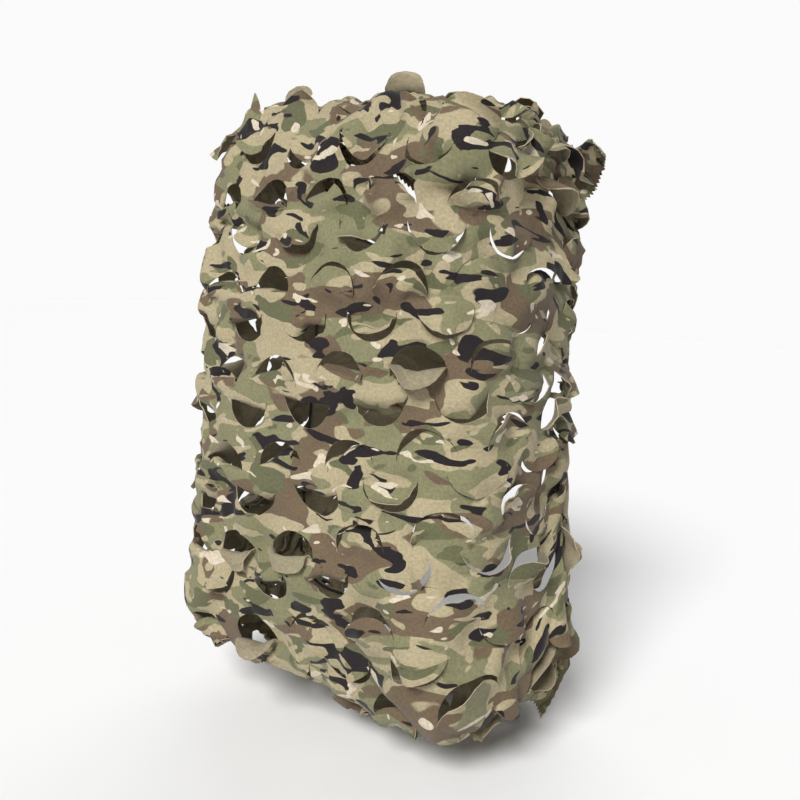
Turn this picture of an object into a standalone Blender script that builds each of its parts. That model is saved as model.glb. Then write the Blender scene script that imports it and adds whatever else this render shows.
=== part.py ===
"""Leaf-cut camouflage net cover in the shape it takes over an upright backpack.

One rectangular sheet of net cloth is wrapped over the front, top, bottom and
sides of a pack that is not part of the model. An elastic drawcord runs round
the back edge and draws the sheet in. Beyond the cord a loose frill lies over
the back, and the four corners of the sheet stand out as ears.

Metres, +Z up. The front faces -Y. The origin is the point under the top of
the cover where the pack holds it up.
"""

import math

import bmesh
import bpy
from mathutils import Vector

# The wrapped form
FORM_HEIGHT = 0.490
FORM_WIDTH = 0.332
FORM_DEPTH = 0.190
TOP_WIDTH_SHARE = 0.84
TOP_DEPTH_SHARE = 0.94
FRONT_EDGE_RADIUS = 0.050
BACK_EDGE_RADIUS = 0.035
FRONT_CROWN = 0.014
TOP_CROWN = 0.012
SAG_DEPTH = 0.016
SAG_HEIGHT = 0.095

# The sheet and its drawcord
CLOTH_THICKNESS = 0.002
LEFT_FRILL = 0.210
RIGHT_FRILL = 0.035
TOP_FRILL = 0.095
BOTTOM_FRILL = 0.075
CORD_TURN = 0.75
CORD_DIAMETER = 0.0028
CORD_STAND_OFF = 0.0043
CORD_POINTS = 78
MOUTH_RADIUS = 0.022
SHEET_CELLS_ACROSS = 44
SHEET_CELLS_UP = 46
EDGE_CROWDING = 0.55
CORNER_SQUARENESS = 3.0

# The leaf cuts stand in rows that rise towards the right, more so lower down
COLUMN_PITCH = 0.0662
ROW_PITCH = 0.0671
MIDDLE_ROW = 3
MIDDLE_U = 0.0574
MIDDLE_V = -0.0330
ROW_LIFT = 0.0139
ROW_LIFT_GROWTH = 0.0043
LIFT_REACH = 3.2
COLUMN_DRIFT = 0.0122
CUP_SHIFT = 0.0034
CUP_DROP = 0.0140
GAP_RADIUS = 0.021
GAP_SEGMENTS = 20
GAP_REACH = 0.080

# The widest of the net's gaps: an arch opens upwards from its hinge, a cup downwards
GAPS = (
    # shape, column, row
    ("arch", 1, 0),
    ("cup", -2, 0),
    ("cup", -1, 0),
    ("arch", -1, 1),
    ("arch", 0, 1),
    ("arch", 0, 2),
    ("cup", -1, 2),
    ("arch", -2, 3),
    ("cup", -1, 3),
    ("arch", -2, 4),
    ("cup", -2, 4),
    ("cup", -1, 4),
)

# The main folds, each a soft ridge (or a trough, if its height is negative) on the flat sheet
FOLDS = (
    # from_u, from_v, to_u, to_v, width, height
    (0.010, 0.060, 0.000, -0.130, 0.016, 0.0060),
    (-0.026, 0.050, -0.034, -0.110, 0.018, -0.0040),
    (0.060, -0.060, 0.120, -0.200, 0.024, 0.0050),
    (-0.120, 0.120, -0.060, 0.030, 0.022, 0.0050),
    (-0.130, -0.030, -0.090, -0.150, 0.020, -0.0040),
    (0.150, 0.250, 0.070, 0.120, 0.018, 0.0070),
    (0.200, 0.240, 0.140, 0.060, 0.020, -0.0050),
    (0.240, 0.200, 0.210, 0.020, 0.018, 0.0070),
    (0.170, -0.230, 0.120, -0.120, 0.020, 0.0060),
    (0.230, -0.190, 0.220, -0.060, 0.018, 0.0060),
    (-0.110, 0.270, -0.040, 0.200, 0.020, 0.0060),
    (0.040, 0.280, 0.030, 0.190, 0.020, 0.0060),
    (-0.180, -0.230, -0.120, -0.170, 0.022, 0.0060),
    (-0.230, 0.120, -0.220, -0.100, 0.024, 0.0060),
)

# The four corners of the sheet. Each ear turns back over the cord and then points this way
EARS = (
    # side, end, x, y, z, spread along the mouth, share of its flat length
    (1, 1, 0.48, -0.60, -0.05, 0.125, 0.78),
    (1, -1, -0.10, -0.50, -0.85, 0.130, 1.00),
    (-1, -1, -0.90, -0.40, -0.50, 0.120, 0.34),
    (-1, 1, -0.80, -0.30, 0.20, 0.120, 0.30),
)
EAR_TURN = 0.070
EAR_SWING = 4.0
FRILL_STEP = 0.008
RUFFLE_HEIGHT = 0.008
RUFFLE_PITCH = 0.115
RUFFLE_RUN = 0.065

INNER_HALF_WIDTH = FORM_WIDTH / 2 - FRONT_EDGE_RADIUS
INNER_HALF_HEIGHT = FORM_HEIGHT / 2 - FRONT_EDGE_RADIUS
FRONT_ARC = FRONT_EDGE_RADIUS * math.pi / 2
SIDE_RUN = FORM_DEPTH - FRONT_EDGE_RADIUS - BACK_EDGE_RADIUS
CORD_REACH = FRONT_ARC + SIDE_RUN + CORD_TURN * BACK_EDGE_RADIUS
SHEET_WIDTH = 2 * (INNER_HALF_WIDTH + CORD_REACH) + LEFT_FRILL + RIGHT_FRILL
SHEET_HEIGHT = 2 * (INNER_HALF_HEIGHT + CORD_REACH) + TOP_FRILL + BOTTOM_FRILL
SHEET_MIDDLE_U = (RIGHT_FRILL - LEFT_FRILL) / 2
SHEET_MIDDLE_V = (TOP_FRILL - BOTTOM_FRILL) / 2


def clamp(value, limit):
    return max(-limit, min(limit, value))


def smooth_step(value):
    value = max(0.0, min(1.0, value))
    return value * value * (3 - 2 * value)


def edge_profile(reach):
    """How far a strip of the sheet has gone outwards and backwards after that much cloth."""
    if reach < FRONT_ARC:
        turn = reach / FRONT_EDGE_RADIUS
        return FRONT_EDGE_RADIUS * math.sin(turn), FRONT_EDGE_RADIUS * (1 - math.cos(turn))
    if reach < FRONT_ARC + SIDE_RUN:
        return FRONT_EDGE_RADIUS, FRONT_EDGE_RADIUS + reach - FRONT_ARC
    turn = (reach - FRONT_ARC - SIDE_RUN) / BACK_EDGE_RADIUS
    inwards = BACK_EDGE_RADIUS * (1 - math.cos(turn))
    return FRONT_EDGE_RADIUS - inwards, FORM_DEPTH - BACK_EDGE_RADIUS * (1 - math.sin(turn))


def ring_point(along, half_width, half_height, radius):
    """A point of a quarter of the rounded ring and its outward direction.

    along runs from the middle of the side to the middle of the top."""
    corner = radius * math.pi / 2
    if along < half_height:
        return half_width + radius, along, 1.0, 0.0
    if along < half_height + corner:
        turn = (along - half_height) / radius
        across, up = math.cos(turn), math.sin(turn)
        return half_width + radius * across, half_height + radius * up, across, up
    return half_width - (along - half_height - corner), half_height + radius, 0.0, 1.0


def taper(x, y, z):
    """The pack is narrower and a little shallower at its top, and sags at its bottom right."""
    share = max(0.0, min(1.0, z / FORM_HEIGHT + 0.5))
    lowest = smooth_step(1 - (z + FORM_HEIGHT / 2) / SAG_HEIGHT)
    z -= SAG_DEPTH * lowest * smooth_step(0.5 + x / FORM_WIDTH)
    width = 1 + (TOP_WIDTH_SHARE - 1) * share
    depth = 1 + (TOP_DEPTH_SHARE - 1) * share
    return x * width, FORM_DEPTH / 2 + (y - FORM_DEPTH / 2) * depth, z


def frill_offset(side, end, outward, heading, from_corner, loose, wave):
    """Where the loose cloth beyond the cord has got to, from the cord, step by step.

    It lies inwards over the back at the sides and top, stands backwards at the
    bottom, and turns outwards and back over the cord at an ear."""
    out = Vector((outward[0] * side, 0.0, outward[1] * end))
    is_bottom = end < 0 and abs(outward[1]) > abs(outward[0])
    plain = (Vector((0.0, 1.4 if is_bottom else 0.25, 0.0)) - out).normalized()
    ear = next(row for row in EARS if row[0] == side and row[1] == end)
    weight = smooth_step(1 - from_corner / ear[5])
    pointing = Vector(ear[2:5]).normalized()
    middle = heading.lerp((out + Vector((0.0, 1.0, 0.0))).normalized() * 1.5, weight)
    last = plain * (1 - weight) ** 2 + pointing * weight**2
    last.y += EAR_SWING * weight * (1 - weight)
    share = 1 + (ear[6] - 1) * weight
    offset = Vector((0.0, 0.0, 0.0))
    steps = max(1, round(loose / FRILL_STEP))
    for step in range(steps):
        gone = (step + 0.5) / steps * loose
        turn = smooth_step(gone / EAR_TURN)
        way = heading * (1 - turn) ** 2 + middle * 2 * turn * (1 - turn) + last * turn**2
        offset += way.normalized() * loose / steps * share
    offset.y += RUFFLE_HEIGHT * wave * smooth_step(loose / RUFFLE_RUN) * (1 - weight)
    return offset


def wrap(u, v):
    """Where the point (u, v) of the flat sheet lies on the wrapped form."""
    side = 1 if u >= 0 else -1
    end = 1 if v >= 0 else -1
    inner_u = clamp(u, INNER_HALF_WIDTH)
    inner_v = clamp(v, INNER_HALF_HEIGHT)
    beyond_u, beyond_v = u - inner_u, v - inner_v
    reach = (abs(beyond_u) ** CORNER_SQUARENESS + abs(beyond_v) ** CORNER_SQUARENESS) ** (
        1 / CORNER_SQUARENESS
    )
    crown = (1 - (u / (FORM_WIDTH / 2)) ** 2) * (1 - (v / (FORM_HEIGHT / 2)) ** 2)
    if reach < 1e-9:
        x, y, z = taper(u, -FRONT_CROWN * crown, v)
        return Vector((x, y - FORM_DEPTH / 2, z - FORM_HEIGHT / 2))
    held = min(reach, CORD_REACH)
    out, back = edge_profile(held)
    radius = MOUTH_RADIUS + (FRONT_EDGE_RADIUS - MOUTH_RADIUS) * out / FRONT_EDGE_RADIUS
    if held < FRONT_ARC:
        radius = out
    half_width = INNER_HALF_WIDTH + out - radius
    half_height = INNER_HALF_HEIGHT + out - radius
    # Along the quarter ring, first as the cloth lies and then evened out towards the cord
    turn = math.atan2(abs(beyond_v), abs(beyond_u))
    lies = abs(inner_v) + turn * radius + INNER_HALF_WIDTH - abs(inner_u)
    whole = half_height + radius * math.pi / 2 + half_width
    flat_along = abs(inner_v) + turn * held + INNER_HALF_WIDTH - abs(inner_u)
    flat_whole = INNER_HALF_HEIGHT + held * math.pi / 2 + INNER_HALF_WIDTH
    lies *= whole / (INNER_HALF_HEIGHT + radius * math.pi / 2 + INNER_HALF_WIDTH)
    drawn = smooth_step((held - FRONT_ARC) / (CORD_REACH - FRONT_ARC))
    along = lies + drawn * (flat_along / flat_whole * whole - lies)
    x, z, across, up = ring_point(along, half_width, half_height, radius)
    point = Vector(taper(side * x, back, end * z))
    point.y -= FORM_DEPTH / 2 + FRONT_CROWN * max(0.0, crown) * (reach < FRONT_ARC)
    loose = reach - held
    if loose > 0:
        from_corner = abs(along - half_height - radius * math.pi / 4)
        inwards, backwards = -math.sin(CORD_TURN), math.cos(CORD_TURN)
        heading = Vector((across * side * inwards, backwards, up * end * inwards))
        wave = math.sin(2 * math.pi * along * (1 + 0.2 * side * end) / RUFFLE_PITCH)
        point += frill_offset(side, end, (across, up), heading, from_corner, loose, wave)
    point.z -= FORM_HEIGHT / 2
    if end > 0:
        faces_up = beyond_v**2 / (beyond_u**2 + beyond_v**2)
        level = 1 - min(1.0, abs(u) / (FORM_WIDTH / 2)) ** 2
        point.z += TOP_CROWN * faces_up * level * math.sin(math.pi * held / CORD_REACH)
    return point


def fold_height(u, v):
    """The height of all folds together at one point of the flat sheet."""
    height = 0.0
    for from_u, from_v, to_u, to_v, width, ridge in FOLDS:
        along_u, along_v = to_u - from_u, to_v - from_v
        share = (u - from_u) * along_u + (v - from_v) * along_v
        share = max(0.0, min(1.0, share / (along_u**2 + along_v**2)))
        gap = math.hypot(u - from_u - share * along_u, v - from_v - share * along_v)
        height += ridge * math.exp(-((gap / width) ** 2))
    return height


def surface_normal(u, v):
    """The outward direction of the wrapped form, from two short steps on the sheet."""
    step = 0.002
    across = wrap(u + step, v) - wrap(u - step, v)
    up = wrap(u, v + step) - wrap(u, v - step)
    return across.cross(up).normalized()


def make_material(name, colour, roughness):
    material = bpy.data.materials.new(name)
    material.use_nodes = True
    shader = material.node_tree.nodes["Principled BSDF"]
    shader.inputs["Base Color"].default_value = (*colour, 1.0)
    shader.inputs["Roughness"].default_value = roughness
    shader.inputs["Metallic"].default_value = 0.0
    return material


def move_to(obj, collection):
    for old in list(obj.users_collection):
        old.objects.unlink(obj)
    collection.objects.link(obj)


def crowded(share):
    """Moves the grid's lines towards the sheet's edges, where it bends most."""
    return (1 - EDGE_CROWDING) * share + EDGE_CROWDING * math.sin(share * math.pi) / 2


def gap_place(shape, column, row):
    """Where a leaf cut's circle is centred on the sheet, and how far its row leans there."""
    is_cup = shape == "cup"
    along = column + 0.5 * is_cup
    down = row - MIDDLE_ROW
    lift = ROW_LIFT + ROW_LIFT_GROWTH * down
    u = MIDDLE_U + COLUMN_PITCH * along + COLUMN_DRIFT * down + CUP_SHIFT * is_cup
    v = MIDDLE_V - ROW_PITCH * down - CUP_DROP * is_cup
    v += lift * LIFT_REACH * math.tanh(along / LIFT_REACH)
    return u, v, math.atan(lift / COLUMN_PITCH / math.cosh(along / LIFT_REACH) ** 2)


def make_gap_cutter(shape, column, row, collection):
    """A half-round bar through the front, flat on the side of the flap's hinge."""
    mesh = bpy.data.meshes.new(f"cutter_{shape}_{column}_{row}")
    shaper = bmesh.new()
    bmesh.ops.create_cone(
        shaper,
        cap_ends=True,
        segments=GAP_SEGMENTS,
        radius1=GAP_RADIUS,
        radius2=GAP_RADIUS,
        depth=GAP_REACH,
    )
    for vert in shaper.verts:
        vert.co = Vector((vert.co.x, -vert.co.z, vert.co.y))
    opens = 1 if shape == "arch" else -1
    cut = bmesh.ops.bisect_plane(
        shaper,
        geom=shaper.verts[:] + shaper.edges[:] + shaper.faces[:],
        plane_co=(0, 0, 0),
        plane_no=(0, 0, -opens),
        clear_outer=True,
    )
    rim = [item for item in cut["geom_cut"] if isinstance(item, bmesh.types.BMEdge)]
    bmesh.ops.edgeloop_fill(shaper, edges=rim)
    bmesh.ops.recalc_face_normals(shaper, faces=shaper.faces)
    shaper.to_mesh(mesh)
    shaper.free()
    cutter = bpy.data.objects.new(mesh.name, mesh)
    u, v, lean = gap_place(shape, column, row)
    cutter.location = wrap(u, v)
    cutter.rotation_euler.y = -lean
    cutter.hide_render = True
    cutter.display_type = "WIRE"
    collection.objects.link(cutter)


def make_net_cloth(collection, cutters):
    """The whole sheet: a flat grid, laid on the wrapped form and folded, then given its thickness."""
    bpy.ops.mesh.primitive_grid_add(
        x_subdivisions=SHEET_CELLS_ACROSS, y_subdivisions=SHEET_CELLS_UP, size=1.0
    )
    cloth = bpy.context.object
    cloth.name = "net_cloth"
    move_to(cloth, collection)
    for vert in cloth.data.vertices:
        u = SHEET_MIDDLE_U + crowded(vert.co.x) * SHEET_WIDTH
        v = SHEET_MIDDLE_V + crowded(vert.co.y) * SHEET_HEIGHT
        vert.co = wrap(u, v) + surface_normal(u, v) * fold_height(u, v)
    cloth.data.materials.append(make_material("camouflage_cloth", (0.33, 0.29, 0.18), 0.85))
    wall = cloth.modifiers.new("cloth thickness", "SOLIDIFY")
    wall.thickness = CLOTH_THICKNESS
    wall.offset = 0.0
    gaps = cloth.modifiers.new("net gaps", "BOOLEAN")
    gaps.operation = "DIFFERENCE"
    gaps.operand_type = "COLLECTION"
    gaps.collection = cutters
    return cloth


def cord_route():
    """The cord's centre line, on the outside of the sheet where the frill begins."""
    quarter = INNER_HALF_HEIGHT + CORD_REACH * math.pi / 2 + INNER_HALF_WIDTH
    route = []
    for index in range(CORD_POINTS):
        round_trip = 4 * quarter * index / CORD_POINTS
        turn, along = divmod(round_trip, quarter)
        side = 1 if turn in (0, 3) else -1
        end = 1 if turn in (0, 1) else -1
        if turn in (1, 3):
            along = quarter - along
        corner = along - INNER_HALF_HEIGHT
        if corner < 0:
            u, v = INNER_HALF_WIDTH + CORD_REACH, along
        elif corner < CORD_REACH * math.pi / 2:
            across, up = math.cos(corner / CORD_REACH), math.sin(corner / CORD_REACH)
            round_norm = across**CORNER_SQUARENESS + up**CORNER_SQUARENESS
            reach = CORD_REACH / round_norm ** (1 / CORNER_SQUARENESS)
            u = INNER_HALF_WIDTH + reach * across
            v = INNER_HALF_HEIGHT + reach * up
        else:
            u, v = quarter - along, INNER_HALF_HEIGHT + CORD_REACH
        just_inside = 0.999
        here = wrap(side * u * just_inside, end * v * just_inside)
        normal = surface_normal(side * u * 0.99, end * v * 0.99)
        route.append(here + normal * CORD_STAND_OFF)
    return route


def make_drawcord(collection):
    """An endless elastic cord, so its spline is closed and has no caps."""
    curve = bpy.data.curves.new("drawcord", "CURVE")
    curve.dimensions = "3D"
    curve.bevel_depth = CORD_DIAMETER / 2
    curve.bevel_resolution = 2
    spline = curve.splines.new("POLY")
    route = cord_route()
    spline.points.add(len(route) - 1)
    for point, place in zip(spline.points, route):
        point.co = (*place, 1.0)
    spline.use_cyclic_u = True
    cord = bpy.data.objects.new("drawcord", curve)
    curve.materials.append(make_material("elastic_cord", (0.015, 0.015, 0.016), 0.6))
    collection.objects.link(cord)
    return cord


def build():
    for old in list(bpy.data.objects):
        bpy.data.objects.remove(old, do_unlink=True)
    cover = bpy.data.collections.new("camouflage_net_cover")
    cutters = bpy.data.collections.new("cutters")
    bpy.context.scene.collection.children.link(cover)
    bpy.context.scene.collection.children.link(cutters)
    for shape, column, row in GAPS:
        make_gap_cutter(shape, column, row, cutters)
    make_net_cloth(cover, cutters)
    make_drawcord(cover)


build()
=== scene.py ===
# %% [markdown]
# # A leaf-cut net cover, drawn over a pack
#
# The real thing is one rectangle of thin printed cloth. Hundreds of half-round
# cuts turn it into a net: each cut frees a small leaf that stays joined to the
# cloth along one straight side, the hinge, and tips in or out. The rectangle is
# put over a backpack and an elastic cord draws it in behind the pack's back
# edge. The pack itself isn't part of the model, so the net stands hollow.
#
# The plan: lay a plain coarse sheet on the form and let a cloth simulation
# settle it on the cord, cut the same sheet finely in the flat, tip its leaves,
# carry the cut sheet onto the settled one, and let it settle once more.

# %% Start: load the frame
import math
import random

import bmesh
import bpy
import numpy as np
from mathutils import Matrix, Vector, geometry


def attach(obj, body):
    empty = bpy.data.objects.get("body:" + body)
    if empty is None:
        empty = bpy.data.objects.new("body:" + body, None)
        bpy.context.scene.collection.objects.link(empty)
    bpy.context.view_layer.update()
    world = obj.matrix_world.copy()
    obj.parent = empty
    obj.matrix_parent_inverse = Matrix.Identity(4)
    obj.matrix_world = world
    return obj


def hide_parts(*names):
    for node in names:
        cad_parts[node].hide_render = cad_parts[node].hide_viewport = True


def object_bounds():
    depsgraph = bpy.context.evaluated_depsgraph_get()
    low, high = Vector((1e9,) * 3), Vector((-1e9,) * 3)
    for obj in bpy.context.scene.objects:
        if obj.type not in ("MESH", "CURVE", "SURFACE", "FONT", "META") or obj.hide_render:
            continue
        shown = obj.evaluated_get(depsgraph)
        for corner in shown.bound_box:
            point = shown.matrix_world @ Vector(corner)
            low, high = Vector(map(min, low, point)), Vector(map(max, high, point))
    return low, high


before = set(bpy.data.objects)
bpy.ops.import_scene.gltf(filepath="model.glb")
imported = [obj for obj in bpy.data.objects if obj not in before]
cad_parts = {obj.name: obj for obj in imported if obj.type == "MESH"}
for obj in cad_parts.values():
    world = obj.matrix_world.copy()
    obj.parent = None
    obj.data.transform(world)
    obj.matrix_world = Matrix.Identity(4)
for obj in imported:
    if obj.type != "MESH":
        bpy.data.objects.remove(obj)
cad_low, cad_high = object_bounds()
scene = bpy.context.scene
print("CAD box:", [round(v, 3) for v in (*cad_low, *cad_high)])

# %% [markdown]
# ## The camera
#
# The camera stands well to the right of the front and a little above the
# middle, and leans by a few degrees. Its three axes are built from the two
# angles and the lean, which is easier to read than three Euler angles.

# %% Camera
AZIMUTH, ELEVATION, LEAN = (math.radians(a) for a in (33.09, 8.21, 3.09))
back = Vector(
    (
        math.sin(AZIMUTH) * math.cos(ELEVATION),
        -math.cos(AZIMUTH) * math.cos(ELEVATION),
        math.sin(ELEVATION),
    )
)
right = Vector((math.cos(AZIMUTH), math.sin(AZIMUTH), 0))
up = back.cross(right)
right_leant = right * math.cos(LEAN) + up * math.sin(LEAN)
up_leant = up * math.cos(LEAN) - right * math.sin(LEAN)
camera = bpy.data.objects.new("camera", bpy.data.cameras.new("camera"))
scene.collection.objects.link(camera)
camera.data.lens = 42.4
camera.data.dof.use_dof = False
axes = Matrix((right_leant, up_leant, back)).transposed().to_4x4()
camera.matrix_world = Matrix.Translation((0.480, -0.705, -0.129)) @ axes
scene.camera = camera
print("camera at", [round(v, 3) for v in camera.matrix_world.translation])

# %% [markdown]
# ## The form under the net
#
# The cover's shape comes from the pack it was drawn over: an upright box,
# narrower at its top, with round edges. A flat sheet laid on it can be
# described strip by strip: over the front, round the front edge, back along
# the side, and inwards round the back edge to the cord. `wrap` gives the place
# in space of any point of the flat sheet. Beyond the cord the loose cloth, the
# frill, lies over the back, and each corner of the sheet stands out as an ear.

# %% Sizes of the form and of the sheet
FORM_HEIGHT, FORM_WIDTH, FORM_DEPTH = 0.490, 0.332, 0.190
TOP_WIDTH_SHARE, TOP_DEPTH_SHARE = 0.84, 0.94
FRONT_EDGE_RADIUS, BACK_EDGE_RADIUS = 0.050, 0.035
FRONT_CROWN, TOP_CROWN = 0.014, 0.012
SAG_DEPTH, SAG_HEIGHT = 0.016, 0.095
LEFT_FRILL, RIGHT_FRILL, TOP_FRILL, BOTTOM_FRILL = 0.210, 0.035, 0.095, 0.075
CORD_TURN, MOUTH_RADIUS, CORNER_SQUARENESS = 0.75, 0.022, 3.0
EARS = (
    # side, end, x, y, z, spread along the mouth, share of its flat length
    (1, 1, 0.48, -0.60, -0.05, 0.125, 0.78),
    (1, -1, -0.10, -0.50, -0.85, 0.130, 1.00),
    (-1, -1, -0.90, -0.40, -0.50, 0.120, 0.34),
    (-1, 1, -0.80, -0.30, 0.20, 0.120, 0.30),
)
EAR_TURN, EAR_SWING, FRILL_STEP = 0.070, 4.0, 0.008
RUFFLE_HEIGHT, RUFFLE_PITCH, RUFFLE_RUN = 0.008, 0.115, 0.065

INNER_HALF_WIDTH = FORM_WIDTH / 2 - FRONT_EDGE_RADIUS
INNER_HALF_HEIGHT = FORM_HEIGHT / 2 - FRONT_EDGE_RADIUS
FRONT_ARC = FRONT_EDGE_RADIUS * math.pi / 2
SIDE_RUN = FORM_DEPTH - FRONT_EDGE_RADIUS - BACK_EDGE_RADIUS
CORD_REACH = FRONT_ARC + SIDE_RUN + CORD_TURN * BACK_EDGE_RADIUS
SHEET_WIDTH = 2 * (INNER_HALF_WIDTH + CORD_REACH) + LEFT_FRILL + RIGHT_FRILL
SHEET_HEIGHT = 2 * (INNER_HALF_HEIGHT + CORD_REACH) + TOP_FRILL + BOTTOM_FRILL
SHEET_MIDDLE = np.array(((RIGHT_FRILL - LEFT_FRILL) / 2, (TOP_FRILL - BOTTOM_FRILL) / 2))
SHEET_SIZE = np.array((SHEET_WIDTH, SHEET_HEIGHT))
print(f"the sheet was cut to {SHEET_WIDTH:.3f} x {SHEET_HEIGHT:.3f} m")


# %% From the flat sheet to the form
def clamp(value, limit):
    return max(-limit, min(limit, value))


def smooth_step(value):
    value = max(0.0, min(1.0, value))
    return value * value * (3 - 2 * value)


def edge_profile(reach):
    """How far a strip of the sheet has gone outwards and backwards after that much cloth."""
    if reach < FRONT_ARC:
        turn = reach / FRONT_EDGE_RADIUS
        return FRONT_EDGE_RADIUS * math.sin(turn), FRONT_EDGE_RADIUS * (1 - math.cos(turn))
    if reach < FRONT_ARC + SIDE_RUN:
        return FRONT_EDGE_RADIUS, FRONT_EDGE_RADIUS + reach - FRONT_ARC
    turn = (reach - FRONT_ARC - SIDE_RUN) / BACK_EDGE_RADIUS
    inwards = BACK_EDGE_RADIUS * (1 - math.cos(turn))
    return FRONT_EDGE_RADIUS - inwards, FORM_DEPTH - BACK_EDGE_RADIUS * (1 - math.sin(turn))


def ring_point(along, half_width, half_height, radius):
    """A point of a quarter of the rounded ring and its outward direction."""
    corner = radius * math.pi / 2
    if along < half_height:
        return half_width + radius, along, 1.0, 0.0
    if along < half_height + corner:
        turn = (along - half_height) / radius
        across, up = math.cos(turn), math.sin(turn)
        return half_width + radius * across, half_height + radius * up, across, up
    return half_width - (along - half_height - corner), half_height + radius, 0.0, 1.0


def taper(x, y, z):
    """The pack is narrower and a little shallower at its top, and sags at its bottom right."""
    share = max(0.0, min(1.0, z / FORM_HEIGHT + 0.5))
    lowest = smooth_step(1 - (z + FORM_HEIGHT / 2) / SAG_HEIGHT)
    z -= SAG_DEPTH * lowest * smooth_step(0.5 + x / FORM_WIDTH)
    width = 1 + (TOP_WIDTH_SHARE - 1) * share
    depth = 1 + (TOP_DEPTH_SHARE - 1) * share
    return x * width, FORM_DEPTH / 2 + (y - FORM_DEPTH / 2) * depth, z


def frill_offset(side, end, outward, heading, from_corner, loose, wave):
    """Where the loose cloth beyond the cord has got to, from the cord, step by step."""
    out = Vector((outward[0] * side, 0.0, outward[1] * end))
    is_bottom = end < 0 and abs(outward[1]) > abs(outward[0])
    plain = (Vector((0.0, 1.4 if is_bottom else 0.25, 0.0)) - out).normalized()
    ear = next(row for row in EARS if row[0] == side and row[1] == end)
    weight = smooth_step(1 - from_corner / ear[5])
    pointing = Vector(ear[2:5]).normalized()
    middle = heading.lerp((out + Vector((0.0, 1.0, 0.0))).normalized() * 1.5, weight)
    last = plain * (1 - weight) ** 2 + pointing * weight**2
    last.y += EAR_SWING * weight * (1 - weight)
    share = 1 + (ear[6] - 1) * weight
    offset = Vector((0.0, 0.0, 0.0))
    steps = max(1, round(loose / FRILL_STEP))
    for step in range(steps):
        turn = smooth_step((step + 0.5) / steps * loose / EAR_TURN)
        way = heading * (1 - turn) ** 2 + middle * 2 * turn * (1 - turn) + last * turn**2
        offset += way.normalized() * loose / steps * share
    offset.y += RUFFLE_HEIGHT * wave * smooth_step(loose / RUFFLE_RUN) * (1 - weight)
    return offset


def wrap(u, v):
    """Where the point (u, v) of the flat sheet lies on the wrapped form."""
    side = 1 if u >= 0 else -1
    end = 1 if v >= 0 else -1
    inner_u = clamp(u, INNER_HALF_WIDTH)
    inner_v = clamp(v, INNER_HALF_HEIGHT)
    beyond_u, beyond_v = u - inner_u, v - inner_v
    reach = (abs(beyond_u) ** CORNER_SQUARENESS + abs(beyond_v) ** CORNER_SQUARENESS) ** (
        1 / CORNER_SQUARENESS
    )
    crown = (1 - (u / (FORM_WIDTH / 2)) ** 2) * (1 - (v / (FORM_HEIGHT / 2)) ** 2)
    if reach < 1e-9:
        x, y, z = taper(u, -FRONT_CROWN * crown, v)
        return Vector((x, y - FORM_DEPTH / 2, z - FORM_HEIGHT / 2))
    held = min(reach, CORD_REACH)
    out, backwards = edge_profile(held)
    radius = MOUTH_RADIUS + (FRONT_EDGE_RADIUS - MOUTH_RADIUS) * out / FRONT_EDGE_RADIUS
    if held < FRONT_ARC:
        radius = out
    half_width = INNER_HALF_WIDTH + out - radius
    half_height = INNER_HALF_HEIGHT + out - radius
    turn = math.atan2(abs(beyond_v), abs(beyond_u))
    lies = abs(inner_v) + turn * radius + INNER_HALF_WIDTH - abs(inner_u)
    whole = half_height + radius * math.pi / 2 + half_width
    flat_along = abs(inner_v) + turn * held + INNER_HALF_WIDTH - abs(inner_u)
    flat_whole = INNER_HALF_HEIGHT + held * math.pi / 2 + INNER_HALF_WIDTH
    lies *= whole / (INNER_HALF_HEIGHT + radius * math.pi / 2 + INNER_HALF_WIDTH)
    drawn = smooth_step((held - FRONT_ARC) / (CORD_REACH - FRONT_ARC))
    along = lies + drawn * (flat_along / flat_whole * whole - lies)
    x, z, across, up = ring_point(along, half_width, half_height, radius)
    point = Vector(taper(side * x, backwards, end * z))
    point.y -= FORM_DEPTH / 2 + FRONT_CROWN * max(0.0, crown) * (reach < FRONT_ARC)
    loose = reach - held
    if loose > 0:
        from_corner = abs(along - half_height - radius * math.pi / 4)
        inwards, rearwards = -math.sin(CORD_TURN), math.cos(CORD_TURN)
        heading = Vector((across * side * inwards, rearwards, up * end * inwards))
        wave = math.sin(2 * math.pi * along * (1 + 0.2 * side * end) / RUFFLE_PITCH)
        point += frill_offset(side, end, (across, up), heading, from_corner, loose, wave)
    point.z -= FORM_HEIGHT / 2
    if end > 0:
        faces_up = beyond_v**2 / (beyond_u**2 + beyond_v**2)
        level = 1 - min(1.0, abs(u) / (FORM_WIDTH / 2)) ** 2
        point.z += TOP_CROWN * faces_up * level * math.sin(math.pi * held / CORD_REACH)
    return point


def surface_normal(u, v):
    """The outward direction of the wrapped form, from two short steps on the sheet."""
    step = 0.002
    across = wrap(u + step, v) - wrap(u - step, v)
    upwards = wrap(u, v + step) - wrap(u, v - step)
    return across.cross(upwards).normalized()


# %% [markdown]
# ## A coarse sheet and its folds
#
# The big folds come first. They don't need the cuts, so a plain grid of about
# 11 mm cells is enough and simulates quickly. It starts on the form with a few
# soft ridges where the real cloth is creased, so the folds land in the right
# places, and a shape key keeps the flat rectangle as the rest shape: the cloth
# then knows its real size, and what doesn't fit at the cord has to pleat.

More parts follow.
